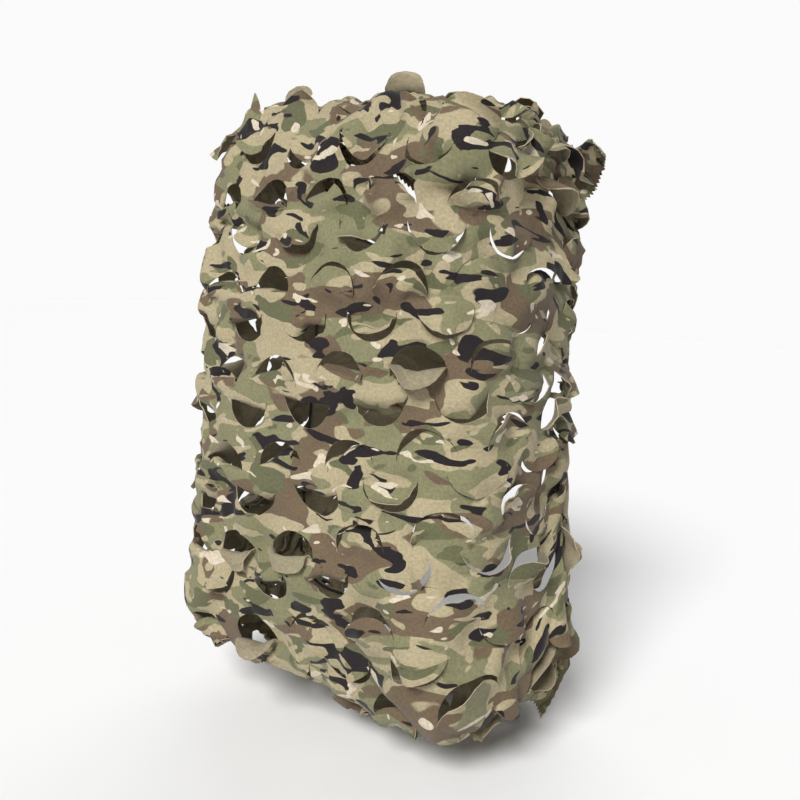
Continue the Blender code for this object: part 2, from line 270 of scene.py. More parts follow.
# %% The coarse sheet
CELL = 0.011
CELLS = np.array((round(SHEET_WIDTH / CELL), round(SHEET_HEIGHT / CELL)))
FOLDS = (
    # from_u, from_v, to_u, to_v, width, height
    (0.010, 0.060, 0.000, -0.130, 0.016, 0.0060),
    (-0.026, 0.050, -0.034, -0.110, 0.018, -0.0040),
    (0.060, -0.060, 0.120, -0.200, 0.024, 0.0050),
    (-0.120, 0.120, -0.060, 0.030, 0.022, 0.0050),
    (-0.130, -0.030, -0.090, -0.150, 0.020, -0.0040),
    (0.150, 0.250, 0.070, 0.120, 0.018, 0.0070),
    (0.200, 0.240, 0.140, 0.060, 0.020, -0.0050),
    (0.240, 0.200, 0.210, 0.020, 0.018, 0.0070),
    (0.170, -0.230, 0.120, -0.120, 0.020, 0.0060),
    (0.230, -0.190, 0.220, -0.060, 0.018, 0.0060),
    (-0.110, 0.270, -0.040, 0.200, 0.020, 0.0060),
    (0.040, 0.280, 0.030, 0.190, 0.020, 0.0060),
    (-0.180, -0.230, -0.120, -0.170, 0.022, 0.0060),
    (-0.230, 0.120, -0.220, -0.100, 0.024, 0.0060),
)


def fold_height(u, v):
    """The height of all folds together at one point of the flat sheet."""
    height = 0.0
    for from_u, from_v, to_u, to_v, width, ridge in FOLDS:
        along_u, along_v = to_u - from_u, to_v - from_v
        share = (u - from_u) * along_u + (v - from_v) * along_v
        share = max(0.0, min(1.0, share / (along_u**2 + along_v**2)))
        gap = math.hypot(u - from_u - share * along_u, v - from_v - share * along_v)
        height += ridge * math.exp(-((gap / width) ** 2))
    return height


def places_of(mesh):
    """A mesh's vertex places as a table with three columns."""
    places = np.empty(len(mesh.vertices) * 3, np.float32)
    mesh.vertices.foreach_get("co", places)
    return places.reshape(-1, 3).astype(float)


def move_vertices(mesh, places):
    mesh.vertices.foreach_set("co", np.asarray(places, np.float32).ravel())
    mesh.update()


shaper = bmesh.new()
bmesh.ops.create_grid(shaper, x_segments=CELLS[0], y_segments=CELLS[1], size=0.5)
coarse_mesh = bpy.data.meshes.new("coarse_sheet")
shaper.to_mesh(coarse_mesh)
shaper.free()
coarse = bpy.data.objects.new("coarse_sheet", coarse_mesh)
scene.collection.objects.link(coarse)
coarse_uv = SHEET_MIDDLE + places_of(coarse_mesh)[:, :2] * SHEET_SIZE
START_CLEAR = 0.004
coarse_start = np.array(
    [wrap(u, v) + surface_normal(u, v) * (fold_height(u, v) + START_CLEAR) for u, v in coarse_uv]
)
move_vertices(coarse_mesh, coarse_start)
print("coarse sheet:", len(coarse_uv), "vertices")


# %% [markdown]
# ## The cord's path through the sheet
#
# The elastic is threaded through the cuts round the whole sheet. On the flat
# sheet its path is a rounded rectangle. Drawn tight, it holds the cloth every
# few centimetres, and the cloth between two holds bunches up.

# %% The cord's path on the flat sheet
HOLDS_ROUND = 80


def cord_path(count):
    """Evenly spaced points of the flat sheet along the line of the cord."""
    a, b, reach, power = INNER_HALF_WIDTH, INNER_HALF_HEIGHT, CORD_REACH, CORNER_SQUARENESS
    turn = np.linspace(0, math.pi / 2, 240, endpoint=False)
    far = reach / (np.cos(turn) ** power + np.sin(turn) ** power) ** (1 / power)
    rise = np.linspace(0, b, 80, endpoint=False)
    run = np.linspace(a, 0, 60, endpoint=False)
    quarter = np.concatenate(
        (
            np.c_[np.full(80, a + reach), rise],
            np.c_[a + far * np.cos(turn), b + far * np.sin(turn)],
            np.c_[run, np.full(60, b + reach)],
        )
    )
    back_again = quarter[::-1]
    loop = np.concatenate(
        (quarter, back_again * (-1, 1), quarter * (-1, -1), back_again * (1, -1), quarter[:1])
    )
    gone = np.r_[0, np.cumsum(np.hypot(*np.diff(loop, axis=0).T))]
    stops = np.linspace(0, gone[-1], count, endpoint=False)
    return np.c_[np.interp(stops, gone, loop[:, 0]), np.interp(stops, gone, loop[:, 1])]


holds = cord_path(HOLDS_ROUND)
# The tips of the right ears, the far edge of the wide left flap and the edge of the top
# flap are held where they start. What holds them in life isn't known
low_right = SHEET_MIDDLE + SHEET_SIZE * (0.5, -0.5)
high_right = SHEET_MIDDLE + SHEET_SIZE * (0.5, 0.5)
far_left, top = SHEET_MIDDLE + SHEET_SIZE * (-0.49, 0.49)
caught = [low_right, low_right - (0.05, 0), low_right + (0, 0.05)]
caught += [high_right, high_right - (0.05, 0), high_right - (0, 0.05)]
caught += [(far_left, v) for v in np.arange(-0.26, 0.30, 0.065)]
caught += [(u, top) for u in np.arange(-0.10, 0.12, 0.07)]
holds = np.concatenate((holds, caught))
held_vertices = sorted({int(np.argmin(((coarse_uv - h) ** 2).sum(1))) for h in holds})
print("the cloth is held at", len(held_vertices), "places,", HOLDS_ROUND, "of them by the cord")


# %% [markdown]
# ## The settling
#
# Blender's Cloth needs something to lie on: a stand-in for the pack, a
# bevelled box with the same taper, which is deleted afterwards. `settle` is
# used twice, for the coarse sheet and for the finely cut one. It runs the
# simulation frame by frame, reads the result back and removes the modifier, so
# the finished piece is a plain mesh.


# %% Settling helpers
def make_pack_stand_in(inset, thickness, friction):
    """A box with round edges for the cloth to lie on while it settles."""
    shaper = bmesh.new()
    bmesh.ops.create_cube(shaper, size=1)
    size = Vector((FORM_WIDTH, FORM_DEPTH, FORM_HEIGHT)) - Vector((1, 1, 1)) * 2 * inset
    bmesh.ops.scale(shaper, vec=size, verts=shaper.verts)
    bmesh.ops.bevel(
        shaper,
        geom=shaper.edges[:] + shaper.verts[:],
        offset=0.045,
        segments=5,
        profile=0.5,
        affect="EDGES",
        material=-1,
    )
    long_edges = [edge for edge in shaper.edges if edge.calc_length() > 0.05]
    bmesh.ops.subdivide_edges(shaper, edges=long_edges, cuts=6, use_grid_fill=True)
    for vert in shaper.verts:
        x, y, z = taper(vert.co.x, vert.co.y + FORM_DEPTH / 2, vert.co.z)
        level = 1 - min(1.0, abs(vert.co.x) / (FORM_WIDTH / 2)) ** 2
        level *= 1 - min(1.0, abs(vert.co.z) / (FORM_HEIGHT / 2)) ** 2
        crown = FRONT_CROWN * level * (vert.co.y < 0)
        vert.co = Vector((x, y - FORM_DEPTH / 2 - crown, z - FORM_HEIGHT / 2))
    bmesh.ops.recalc_face_normals(shaper, faces=shaper.faces)
    mesh = bpy.data.meshes.new("pack_stand_in")
    shaper.to_mesh(mesh)
    shaper.free()
    stand_in = bpy.data.objects.new("pack_stand_in", mesh)
    scene.collection.objects.link(stand_in)
    stand_in.modifiers.new("collision", "COLLISION")
    stand_in.collision.thickness_outer = thickness
    stand_in.collision.thickness_inner = 0.02
    stand_in.collision.cloth_friction = friction
    return stand_in


def settle(sheet, rest, pins, frames, gravity, cloth_values, collision_values):
    """Lets the sheet settle from where it is towards its rest shape, and gives its new places."""
    before = places_of(sheet.data)
    sheet.shape_key_add(name="start")
    rest_key = sheet.shape_key_add(name="rest")
    rest_key.data.foreach_set("co", np.asarray(rest, np.float32).ravel())
    rest_key.value = 0
    sheet.vertex_groups.new(name="cord").add(pins, 1.0, "REPLACE")
    cloth = sheet.modifiers.new("settling", "CLOTH")
    cloth.settings.bending_model = "ANGULAR"
    cloth.settings.vertex_group_mass = "cord"
    cloth.settings.rest_shape_key = rest_key
    for name, value in cloth_values.items():
        setattr(cloth.settings, name, value)
    for name, value in collision_values.items():
        setattr(cloth.collision_settings, name, value)
    cloth.settings.effector_weights.gravity = gravity
    cloth.point_cache.frame_start = 1
    cloth.point_cache.frame_end = frames
    scene.frame_start, scene.frame_end = 1, frames
    for number in range(1, frames + 1):
        scene.frame_set(number)
    seen = sheet.evaluated_get(bpy.context.evaluated_depsgraph_get())
    settled = bpy.data.meshes.new_from_object(seen)
    after = places_of(settled)
    bpy.data.meshes.remove(settled)
    sheet.modifiers.clear()
    sheet.shape_key_clear()
    scene.frame_set(1)
    moved = np.linalg.norm(after - before, axis=1) * 1000
    print(f"settled {len(after)} vertices: mean {moved.mean():.1f} mm, most {moved.max():.1f} mm")
    return after


# %% The coarse sheet settles
def cloth_settings(quality, mass, air_damping, stretch, shear, bending):
    """Blender's names for the cloth's values; it resists pull and push alike."""
    return {
        "quality": quality,
        "mass": mass,
        "air_damping": air_damping,
        "tension_stiffness": stretch,
        "compression_stiffness": stretch,
        "shear_stiffness": shear,
        "bending_stiffness": bending,
        "tension_damping": 8.0,
        "compression_damping": 8.0,
        "shear_damping": 8.0,
        "bending_damping": 0.5,
    }


COARSE_CLOTH = cloth_settings(6, 0.02, 1.5, 12.0, 4.0, 0.15)
COARSE_CONTACT = {
    "collision_quality": 3,
    "distance_min": 0.003,
    "use_self_collision": True,
    "self_distance_min": 0.003,
    "self_friction": 3.0,
}
COARSE_FRAMES = 40
coarse_places = coarse_start
stand_in = make_pack_stand_in(0.003, 0.002, 8.0)
flat_rest = np.c_[coarse_uv[:, 0], np.zeros(len(coarse_uv)), coarse_uv[:, 1]]
coarse_places = settle(
    coarse, flat_rest, held_vertices, COARSE_FRAMES, 1.0, COARSE_CLOTH, COARSE_CONTACT
)
bpy.data.objects.remove(stand_in)
bpy.data.objects.remove(coarse)

# %% [markdown]
# The simulation crumples the ears and lets the wide left flap sag. So the right
# ears and the upper part of the flap are drawn back most of the way to the
# shape they started with. The flap's lower end stays as it settled.

# %% Ears and flap keep their shape
EAR_REACH, FLAP_REACH, FLAP_LOW, SHAPE_KEPT = 0.13, 0.05, -0.12, 0.85
behind = -(INNER_HALF_WIDTH + CORD_REACH) - coarse_uv[:, 0]
above_low_end = np.clip((coarse_uv[:, 1] - FLAP_LOW) / FLAP_REACH, 0, 1)
near = np.clip(behind / FLAP_REACH, 0, 1) * above_low_end
for corner in (low_right, high_right):
    far = np.linalg.norm(coarse_uv - corner, axis=1)
    near = np.maximum(near, np.clip(1.5 - far / EAR_REACH, 0, 1))
kept = (SHAPE_KEPT * near * near * (3 - 2 * near))[:, None]
coarse_places = coarse_places * (1 - kept) + coarse_start * kept
print("vertices that keep their start shape:", int((kept > 0).sum()))

# %% [markdown]
# ## Reading the settled sheet between its vertices
#
# The coarse sheet is now a smooth map from the flat rectangle into space. A
# Catmull-Rom curve through four neighbours, once along and once up, gives a
# place anywhere on it without kinks, and small steps give its directions.

# %% The drape as a smooth map
order = np.lexsort((coarse_uv[:, 0].round(6), coarse_uv[:, 1].round(6)))
drape = coarse_places[order].reshape(CELLS[1] + 1, CELLS[0] + 1, 3)


def curve_weights(t):
    return np.stack(
        (
            -0.5 * t + t * t - 0.5 * t**3,
            1 - 2.5 * t * t + 1.5 * t**3,
            0.5 * t + 2 * t * t - 1.5 * t**3,
            -0.5 * t * t + 0.5 * t**3,
        ),
        -1,
    )


def on_drape(points):
    """The places in space of points of the flat sheet."""
    share = (points - SHEET_MIDDLE) / SHEET_SIZE + 0.5
    spot = np.clip(share, 0, 1 - 1e-9) * CELLS
    cell = np.floor(spot).astype(int)
    across, upwards = (curve_weights(spot[:, k] - cell[:, k]) for k in (0, 1))
    places = 0
    for row in range(4):
        rows = np.clip(cell[:, 1] + row - 1, 0, CELLS[1])
        for column in range(4):
            columns = np.clip(cell[:, 0] + column - 1, 0, CELLS[0])
            weight = across[:, column] * upwards[:, row]
            places = places + weight[:, None] * drape[rows, columns]
    return places


def unit(vectors):
    return vectors / (np.linalg.norm(vectors, axis=1)[:, None] + 1e-12)


def drape_directions(points):
    """The drape's own across, up and outward directions at points of the flat sheet."""
    step = 0.0015
    across = (on_drape(points + (step, 0)) - on_drape(points - (step, 0))) / (2 * step)
    upwards = (on_drape(points + (0, step)) - on_drape(points - (0, step))) / (2 * step)
    return across, upwards, unit(np.cross(across, upwards))


# %% [markdown]
# The settled sheet lies close on its form, while the real one has been pulled
# about and stands off in soft waves. So the folds of the start are put back on
# the front, along its outward direction, with gentle waves of a hand's width
# and less, made of a few sines that don't repeat each other.

# %% Waves on the settled sheet
WAVES = (
    # waves per metre across, and up, turn of the sine, height
    (9.0, 5.0, 0.6, 0.0028),
    (-14.0, 9.0, 2.1, 0.0022),
    (21.0, -17.0, 4.0, 0.0018),
    (6.0, 27.0, 1.2, 0.0018),
    (31.0, 12.0, 5.3, 0.0012),
)
ordered_uv = coarse_uv[order]
lift = np.array([0.9 * fold_height(u, v) for u, v in ordered_uv])
for across, upwards, turn, height in WAVES:
    lift += height * np.sin(2 * math.pi * (ordered_uv @ (across, upwards)) + turn)
from_cord = CORD_REACH - np.maximum(
    np.abs(ordered_uv[:, 0]) - INNER_HALF_WIDTH, np.abs(ordered_uv[:, 1]) - INNER_HALF_HEIGHT
)
lift *= np.clip(from_cord / 0.05, 0, 1)
outward_directions = drape_directions(ordered_uv)[2]
drape = drape + (outward_directions * lift[:, None]).reshape(drape.shape)
print(f"waves: from {lift.min() * 1000:.1f} to {lift.max() * 1000:.1f} mm")

# %% [markdown]
# ## Where the leaves are cut
#
# The cuts stand in slanting rows. A row alternates between an arch, a cut
# like the top half of a circle whose leaf hangs on its lower side, and a cup,
# the bottom half, whose leaf hangs from its upper side. The rows rise to the
# right, and fan out a little, because the net lies slightly askew on the pack.
# A table of letters says how each leaf of the front stands: pressed in, open,
# half shut, or rolled outwards. Towards the right edge they stand more shut than
# on the real net, because open leaves there would show the background through
# the hollow form. The leaves elsewhere are picked at random, with a fixed seed.

# %% The leaf cuts
COLUMN_PITCH, ROW_PITCH, MIDDLE_ROW = 0.0662, 0.0671, 3
MIDDLE_U, MIDDLE_V = 0.0574, -0.0330
ROW_LIFT, ROW_LIFT_GROWTH, LIFT_REACH = 0.0139, 0.0043, 3.2
COLUMN_DRIFT, CUP_SHIFT, CUP_DROP = 0.0122, 0.0034, 0.0140
LEAF_RADIUS = 0.0229
LEAF_SPAN = math.radians(190)
EDGE_MARGIN = 0.034
CUT_GAP = 0.0065

STANDS = {
    # how a leaf stands: tilt outwards in degrees, share of the leaf that bends, twist
    "f": (3, 0.6, 0.0),
    "s": (-20, 0.7, 0.2),
    "c": (-40, 0.6, 0.3),
    "d": (-58, 0.8, 0.2),
    "t": (-75, 0.5, 0.8),
    "o": (-92, 0.4, 0.3),
    "w": (-125, 0.5, 0.2),
    "a": (85, 1.0, 0.4),
    "h": (140, 0.7, 0.4),
    "u": (62, 0.9, 0.3),
}
EAR_FROM = (0.22, 0.30)
FIRST_COLUMN = -3
FRONT_STANDS = {
    # row: how its arches stand, and how its cups stand, from the first column on
    -1: ("ufufuuf", "fcsscsf"),
    0: ("oooodcs", "oacacss"),
    1: ("oooodsc", "oooacss"),
    2: ("ootohcs", "oowocss"),
    3: ("ooodsfc", "oowasss"),
    4: ("ohhddfc", "coosssc"),
    5: ("ohccsfs", "scsssss"),
    6: ("oooofss", "cscosss"),
}


def leaf_place(shape, column, row):
    """Where a leaf cut's circle is centred on the sheet, and how far its row leans there."""
    is_cup = shape == "cup"
    along = column + 0.5 * is_cup
    down = row - MIDDLE_ROW
    lift = ROW_LIFT + ROW_LIFT_GROWTH * clamp(down, 4)
    u = MIDDLE_U + COLUMN_PITCH * along + COLUMN_DRIFT * down + CUP_SHIFT * is_cup
    v = MIDDLE_V - ROW_PITCH * down - CUP_DROP * is_cup
    v += lift * LIFT_REACH * math.tanh(along / LIFT_REACH)
    return u, v, math.atan(lift / COLUMN_PITCH / math.cosh(along / LIFT_REACH) ** 2)


def leaf_stand(shape, column, row, at, dice):
    """The letter of a leaf: from the table on the front, else at random."""
    spot = column - FIRST_COLUMN
    if row in FRONT_STANDS and 0 <= spot < 7:
        return FRONT_STANDS[row][shape == "cup"][spot]
    beyond_side = abs(at[0]) > INNER_HALF_WIDTH + CORD_REACH
    beyond_end = abs(at[1]) > INNER_HALF_HEIGHT + CORD_REACH
    if at[0] > EAR_FROM[0] and abs(at[1]) > EAR_FROM[1]:
        return dice.choice("ffsf")
    if beyond_side or beyond_end:
        return dice.choice("fffssc")
    if at[0] > INNER_HALF_WIDTH + FRONT_ARC:
        return dice.choice("fsscdcha")
    return dice.choice("fscdooothaua")


dice = random.Random(7)
SHIFT_DICE, SIZE_DICE, TURN_DICE, TILT_DICE = 0.0014, 0.03, 0.07, 12
leaves = []
for row in range(-5, 12):
    for column in range(-10, 9):
        for shape in ("arch", "cup"):
            u, v, lean = leaf_place(shape, column, row)
            jitter = [dice.uniform(-1, 1) for _ in range(6)]
            u += jitter[0] * SHIFT_DICE
            v += jitter[1] * SHIFT_DICE
            from_middle = np.abs(np.array((u, v)) - SHEET_MIDDLE)
            if (from_middle > SHEET_SIZE / 2 - EDGE_MARGIN).any():
                continue
            stand = leaf_stand(shape, column, row, (u, v), dice)
            tilt, bend_share, twist = STANDS[stand]
            points_up = math.pi / 2 if shape == "arch" else -math.pi / 2
            leaves.append(
                {
                    "is_cup": shape == "cup",
                    "centre": np.array((u, v)),
                    "radius": LEAF_RADIUS * (1 + SIZE_DICE * jitter[2]),
                    "towards": points_up + 0.7 * lean + TURN_DICE * jitter[3],
                    "tilt": math.radians(tilt + TILT_DICE * jitter[4] * (stand != "f")),
                    "bend_share": bend_share,
                    "twist": twist * (1 if jitter[5] > 0 else -1) * abs(jitter[5]) ** 0.5,
                }
            )
# Where two cuts come too close, both get smaller, so that no piece of cloth falls out
for one in leaves:
    for other in leaves:
        if one["is_cup"] and not other["is_cup"] and other["centre"][1] < one["centre"][1] - 0.02:
            room = np.linalg.norm(one["centre"] - other["centre"]) - CUT_GAP
            if room < one["radius"] + other["radius"]:
                one["radius"] = min(one["radius"], room / 2)
                other["radius"] = min(other["radius"], room / 2)
print("leaf cuts:", len(leaves))

# %% [markdown]
# ## Cutting the sheet
#
# A Delaunay triangulation joins the outline, the cuts and a filling of points
# into one sheet whose edges run exactly along every cut. Then the edges of the
# cuts are split: both sides get vertices of their own and can part. The edge
# of the sheet is pinked, cut in small teeth, so that it doesn't fray.

# %% The cut sheet, still flat
ARC_STEPS = 19
TOOTH_PITCH, TOOTH_DEPTH = 0.0085, 0.0048
FILL_PITCH, FILL_MARGIN = 0.0054, 0.0070


def pinked_outline():
    """The sheet's edge, once round, in teeth."""
    low, high = SHEET_MIDDLE - SHEET_SIZE / 2, SHEET_MIDDLE + SHEET_SIZE / 2
    outline = []
    for side in range(4):
        start = np.array(((low, (high[0], low[1]), high, (low[0], high[1]))[side]))
        end = np.array((((high[0], low[1]), high, (low[0], high[1]), low)[side]))
        inwards = np.array(((0, 1), (-1, 0), (0, -1), (1, 0))[side]) * TOOTH_DEPTH
        teeth = 2 * round(np.abs(end - start).sum() / TOOTH_PITCH)
        for tooth in range(teeth):
            outline.append(start + (end - start) * tooth / teeth + inwards * (tooth % 2))
    return outline


def fill_points(taken):
    """Points in rows that fill the sheet between its cuts and its edge."""
    size = FILL_PITCH * 0.62
    used = {(int(x // size), int(y // size)) for x, y in taken}
    low = SHEET_MIDDLE - SHEET_SIZE / 2 + FILL_MARGIN
    high = SHEET_MIDDLE + SHEET_SIZE / 2 - FILL_MARGIN
    rows = round((high[1] - low[1]) / FILL_PITCH / 0.866)
    columns = round((high[0] - low[0]) / FILL_PITCH)
    points = []
    for row in range(rows + 1):
        y = low[1] + (high[1] - low[1]) * row / rows
        for column in range(columns + 1):
            x = low[0] + (high[0] - low[0]) * (column + 0.5 * (row % 2)) / columns
            spot = (int(x // size), int(y // size))
            near = any((spot[0] + a, spot[1] + b) in used for a in (-1, 0, 1) for b in (-1, 0, 1))
            if x <= high[0] and not near:
                points.append((x, y))
    return points


points, edges = [], []
for leaf in leaves:
    first = len(points)
    for step in range(ARC_STEPS + 1):
        turn = leaf["towards"] + LEAF_SPAN * (step / ARC_STEPS - 0.5)
        points.append(leaf["centre"] + leaf["radius"] * np.array((math.cos(turn), math.sin(turn))))
    edges += [(first + step, first + step + 1) for step in range(ARC_STEPS)]
cut_edges = len(edges)
first = len(points)
outline = pinked_outline()
points += outline
edges += [(first + k, first + (k + 1) % len(outline)) for k in range(len(outline))]
points += fill_points(points)
flat_points = [Vector((float(x), float(y))) for x, y in points]
found = geometry.delaunay_2d_cdt(flat_points, edges, [], 1, 1e-6)
corners, joins, triangles, _, from_edges, _ = found

shaper = bmesh.new()
made = [shaper.verts.new((corner.x, corner.y, 0)) for corner in corners]
for triangle in triangles:
    shaper.faces.new([made[k] for k in triangle])
cuts = set()
for join, sources in zip(joins, from_edges):
    if any(source < cut_edges for source in sources):
        cuts.add(frozenset(join))
shaper.verts.index_update()
to_split = [e for e in shaper.edges if frozenset(v.index for v in e.verts) in cuts]
bmesh.ops.split_edges(shaper, edges=to_split)
bmesh.ops.recalc_face_normals(shaper, faces=shaper.faces)
shaper.verts.index_update()
shaper.faces.index_update()
shaper.faces.ensure_lookup_table()
face_middles = np.array([face.calc_center_median()[:2] for face in shaper.faces])
print("cut sheet:", len(shaper.verts), "vertices,", len(shaper.faces), "triangles")

# %% Which leaf each vertex belongs to
hinge_share = math.cos(LEAF_SPAN / 2)
leaf_of_face = np.full(len(face_middles), -1)
for number, leaf in enumerate(leaves):
    towards = np.array((math.cos(leaf["towards"]), math.sin(leaf["towards"])))
    leaf["axis"] = towards
    leaf["hinge"] = leaf["radius"] * hinge_share
    gone = face_middles - leaf["centre"]
    inside = (gone**2).sum(1) < leaf["radius"] ** 2
    leaf_of_face[inside & (gone @ towards > leaf["hinge"])] = number
leaf_of = np.array(
    [max((leaf_of_face[face.index] for face in vert.link_faces), default=-1) for vert in shaper.verts]
)
cut_mesh = bpy.data.meshes.new("leaf_net")
shaper.to_mesh(cut_mesh)
shaper.free()
flat_uv = places_of(cut_mesh)[:, :2]
triangle_table = np.array([tuple(face.vertices) for face in cut_mesh.polygons])
print("vertices on leaves:", int((leaf_of >= 0).sum()))

# %% [markdown]
# ## Tipping the leaves
#
# Paper-thin cloth bends but doesn't stretch, so a leaf is bent by walking from
# its hinge to its tip in small steps, each step turned a little more. The walk
# keeps every length. It is done twice with the same numbers: once over the flat
# sheet, which becomes the rest shape, and once over the settled drape.


# %% Bending the leaves
def bend_leaf(leaf, gone_along, gone_aside):
    """How far points of a leaf get along the sheet and out of it once it is tipped."""
    whole = leaf["radius"] - leaf["hinge"]
    tilt = leaf["tilt"] * (1 + leaf["twist"] * gone_aside / leaf["radius"])
    along, outwards = np.zeros_like(gone_along), np.zeros_like(gone_along)
    steps = 24
    for step in range(steps):
        share = gone_along * (step + 0.5) / steps / (whole * leaf["bend_share"])
        share = np.clip(share, 0, 1)
        angle = tilt * share * share * (3 - 2 * share)
        along += np.cos(angle) * gone_along / steps
        outwards += np.sin(angle) * gone_along / steps
    return along, outwards


rest_places = np.c_[flat_uv[:, 0], np.zeros(len(flat_uv)), flat_uv[:, 1]]
net_places = on_drape(flat_uv)
for number, leaf in enumerate(leaves):
    mine = np.where(leaf_of == number)[0]
    axis = leaf["axis"]
    aside = np.array((axis[1], -axis[0]))
    gone = flat_uv[mine] - leaf["centre"]
    from_hinge = np.maximum(gone @ axis - leaf["hinge"], 0)
    along, outwards = bend_leaf(leaf, from_hinge, gone @ aside)
    roots = flat_uv[mine] - np.outer(from_hinge, axis)
    bent = roots + np.outer(along, axis)
    rest_places[mine] = np.c_[bent[:, 0], -outwards, bent[:, 1]]
    across, upwards, normal = drape_directions(roots)
    way = unit(across * axis[0] + upwards * axis[1])
    normal = unit(normal - (normal * way).sum(1)[:, None] * way)
    net_places[mine] = on_drape(roots) + way * along[:, None] + normal * outwards[:, None]
move_vertices(cut_mesh, net_places)
net = bpy.data.objects.new("leaf_net", cut_mesh)
scene.collection.objects.link(net)
print("leaves tipped:", len(leaves))

# %% [markdown]
# ## The cut net settles
#
# A short second run, now with every cut open, lets the strips between the cuts
# twist and the leaves sag a little. The rest shape has the leaves already bent,
# so they keep their curl as real creased cloth does.

# %% The cut net settles on the cord
FINE_CLOTH = cloth_settings(4, 0.01, 3.0, 6.0, 3.0, 0.3)
FINE_CONTACT = {"collision_quality": 2, "distance_min": 0.0015, "use_self_collision": False}
FINE_FRAMES = 14
stand_in = make_pack_stand_in(0.004, 0.001, 5.0)
held_fine = [int(np.argmin(((flat_uv - coarse_uv[k]) ** 2).sum(1))) for k in held_vertices]
net_places = settle(
    net, rest_places, held_fine, FINE_FRAMES, 0.5, FINE_CLOTH, FINE_CONTACT
)
bpy.data.objects.remove(stand_in)
# Leaves that stand out far in front are pressed back, to stay close to the CAD box
STAND_OUT, SOFTNESS = 0.004, 0.014
front_limit = cad_low.y - STAND_OUT
over = np.maximum(front_limit - net_places[:, 1], 0)
net_places[:, 1] += over - SOFTNESS * np.tanh(over / SOFTNESS)
move_vertices(cut_mesh, net_places)


def area_of(places):
    a, b, c = (places[triangle_table[:, k]] for k in range(3))
    return np.linalg.norm(np.cross(b - a, c - a), axis=1).sum() / 2


share = area_of(net_places) / (SHEET_WIDTH * SHEET_HEIGHT)
print(f"area kept: {share:.2f}, box {net_places.min(0).round(3)} to {net_places.max(0).round(3)}")

# %% [markdown]
# ## Thickness, sides and map
#
# A Solidify modifier turns the single layer into real cloth, 0.7 mm thick. Its
# material offsets give the outside, the reverse and the cut edge a material
# each. Then it is applied, because the map needs to know which side a face is
# on. Before that, the sheet's own flat coordinates become its UV map, in
# metres, so a print and a weave follow the cloth as they do in life.

# %% The flat map and the cloth's thickness
CLOTH_THICKNESS = 0.0007
flat_map = cut_mesh.uv_layers.new(name="flat_cut")
corner_vertices = np.empty(len(cut_mesh.loops), np.int32)
cut_mesh.loops.foreach_get("vertex_index", corner_vertices)
flat_map.uv.foreach_set("vector", flat_uv[corner_vertices].astype(np.float32).ravel())
wall = net.modifiers.new("cloth thickness", "SOLIDIFY")
wall.thickness = CLOTH_THICKNESS
wall.offset = 0.0
wall.material_offset = 1
wall.material_offset_rim = 2
for name in ("outside", "reverse", "cut_edge"):
    cut_mesh.materials.append(bpy.data.materials.new(name))
seen = net.evaluated_get(bpy.context.evaluated_depsgraph_get())
thick_mesh = bpy.data.meshes.new_from_object(seen)
net.modifiers.clear()
net.data = thick_mesh
bpy.data.meshes.remove(cut_mesh)
thick_mesh.name = "leaf_net"
shaper = bmesh.new()
shaper.from_mesh(thick_mesh)
for face in shaper.faces:
    face.smooth = True
for edge in shaper.edges:
    edge.smooth = len({face.material_index for face in edge.link_faces}) == 1
shaper.to_mesh(thick_mesh)
shaper.free()
print("net:", sum(len(face.vertices) - 2 for face in thick_mesh.polygons), "triangles")

# %% [markdown]
# ## Cloth materials
#
# All three materials share one effect, the weave: two sets of threads that
# cross, about a millimetre apart, as a height for a Bump node and as a slight
# change of colour. It is a node group, so each material places it with its own
# strength. The print is a general woodland camouflage made of layered noise:
# each layer is a noise texture cut off sharply at a level, and covers the
# layers before it.


# %% Node helpers
def set_inputs(node, **values):
    """Sets inputs by name; an underscore stands for a space."""
    for name, value in values.items():
        node.inputs[name.replace("_", " ")].default_value = value


def math_node(tree, operation, first, second=None, third=None):
    node = tree.nodes.new("ShaderNodeMath")
    node.operation = operation
    for socket, value in zip(node.inputs, (first, second, third)):
        if isinstance(value, (int, float)):
            socket.default_value = value
        elif value is not None:
            tree.links.new(value, socket)
    return node.outputs[0]


def mix_colours(tree, share, first, second, blend_type="MIX"):
    node = tree.nodes.new("ShaderNodeMix")
    node.data_type = "RGBA"
    node.blend_type = blend_type
    for socket, value in ((node.inputs[0], share), (node.inputs[6], first), (node.inputs[7], second)):
        if isinstance(value, (int, float)):
            socket.default_value = value
        elif isinstance(value, tuple):
            socket.default_value = (*value, 1.0)
        else:
            tree.links.new(value, socket)
    return node.outputs[2]


def flat_position(tree, scale=(1, 1, 1), offset=(0, 0, 0)):
    """The place on the flat sheet in metres, shifted and stretched."""
    uv = tree.nodes.new("ShaderNodeUVMap")
    uv.uv_map = "flat_cut"
    mapping = tree.nodes.new("ShaderNodeMapping")
    set_inputs(mapping, Scale=scale, Location=offset)
    tree.links.new(uv.outputs["UV"], mapping.inputs["Vector"])
    return mapping.outputs["Vector"]


def noise_at(tree, position, scale, detail=1.0, roughness=0.5, distortion=0.0):
    node = tree.nodes.new("ShaderNodeTexNoise")
    set_inputs(node, Scale=scale, Detail=detail, Roughness=roughness, Distortion=distortion)
    tree.links.new(position, node.inputs["Vector"])
    return node.outputs["Fac"]


INK_SOFTNESS = 0.006


def cut_off(tree, value, level):
    """1 above the level, 0 below it, with a narrow soft step between, like ink on cloth."""
    node = tree.nodes.new("ShaderNodeMapRange")
    node.interpolation_type = "SMOOTHSTEP"
    set_inputs(node, From_Min=level - INK_SOFTNESS, From_Max=level + INK_SOFTNESS)
    tree.links.new(value, node.inputs["Value"])
    return node.outputs["Result"]


